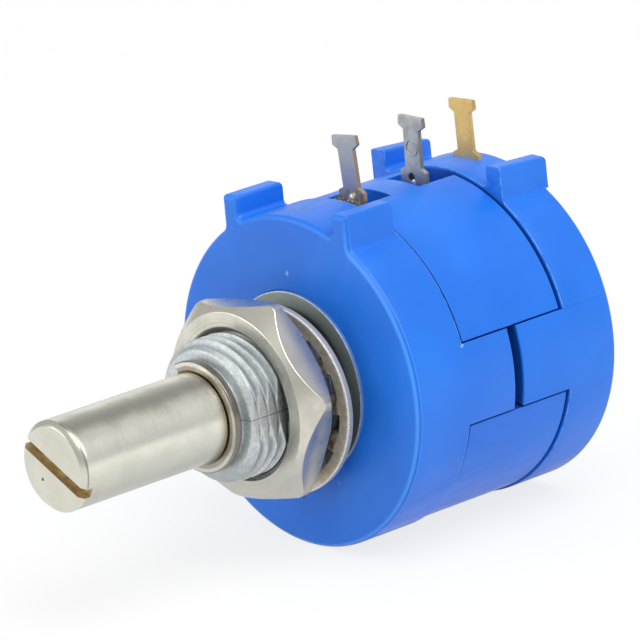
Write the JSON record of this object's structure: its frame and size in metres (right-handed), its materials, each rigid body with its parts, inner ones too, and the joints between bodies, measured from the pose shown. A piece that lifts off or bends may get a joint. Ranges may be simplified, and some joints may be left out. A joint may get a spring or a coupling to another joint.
{
  "type": "rotary potentiometer",
  "caption": "Round blue multi-turn wirewound potentiometer with slotted metal shaft, threaded bushing, hex nut, lock washer and solder terminals along its top.",
  "frame": {"origin": "centre of the front face of the bushing's flange, which is the face that meets the panel", "axes": "-Y along the shaft towards its slotted end, +Y towards the rear cover, +Z towards the terminals, +X to the right when the shaft's end is seen from the front"},
  "size_m": [0.0222, 0.0392, 0.0262],
  "materials": {
    "housing_blue": "satin",
    "bushing_zinc": "satin",
    "shaft_nickel": "satin",
    "ring_steel": "satin",
    "thrust_white": "matte",
    "rotor_white": "satin",
    "contact_gold": "polished",
    "carriage_grey": "matte",
    "element_wire": "satin",
    "terminal_tin": "matte",
    "terminal_gold": "satin",
    "nut_nickel": "satin",
    "washer_nickel": "satin"
  },
  "bodies": {
    "housing": {"front_housing": "housing_blue", "mid_housing": "housing_blue", "rear_cover": "housing_blue", "bushing": "bushing_zinc", "thrust_washer": "thrust_white", "resistance_coil": "element_wire", "element_lead_front": "terminal_tin", "element_lead_rear": "terminal_tin", "terminal_1": "terminal_tin", "terminal_2": "terminal_gold", "terminal_3": "terminal_tin", "wiper_brush": "contact_gold"},
    "rotor": {"shaft": "shaft_nickel", "rotor": "rotor_white", "retaining_ring": "ring_steel", "collector_bar": "contact_gold", "slip_ring": "contact_gold"},
    "carriage": {"carriage": "carriage_grey", "wiper_contact": "contact_gold"},
    "washer": {"lock_washer": "washer_nickel"},
    "nut": {"hex_nut": "nut_nickel"}
  },
  "joints": [
    {"name": "shaft_spin", "type": "hinge", "parent": "housing", "child": "rotor", "pos_m": [0, 0, 0], "axis": [0, 1, 0], "range_deg": [-1800, 1800]},
    {"name": "wiper_travel", "type": "slide", "parent": "rotor", "child": "carriage", "axis": [0, 1, 0], "range_m": [-0.00501, 0.00501]},
    {"name": "washer_slide", "type": "slide", "parent": "housing", "child": "washer", "axis": [0, 1, 0], "range_m": [-0.0024, 0.0008]},
    {"name": "nut_spin", "type": "hinge", "parent": "washer", "child": "nut", "pos_m": [0, 0, 0], "axis": [0, 1, 0], "range_deg": [-1080, 360]}
  ],
  "couplings": [
    {"joint": "wiper_travel", "follows": "shaft_spin", "m_per_rad": 0.00015915},
    {"joint": "washer_slide", "follows": "nut_spin", "m_per_rad": 0.00012633}
  ]
}
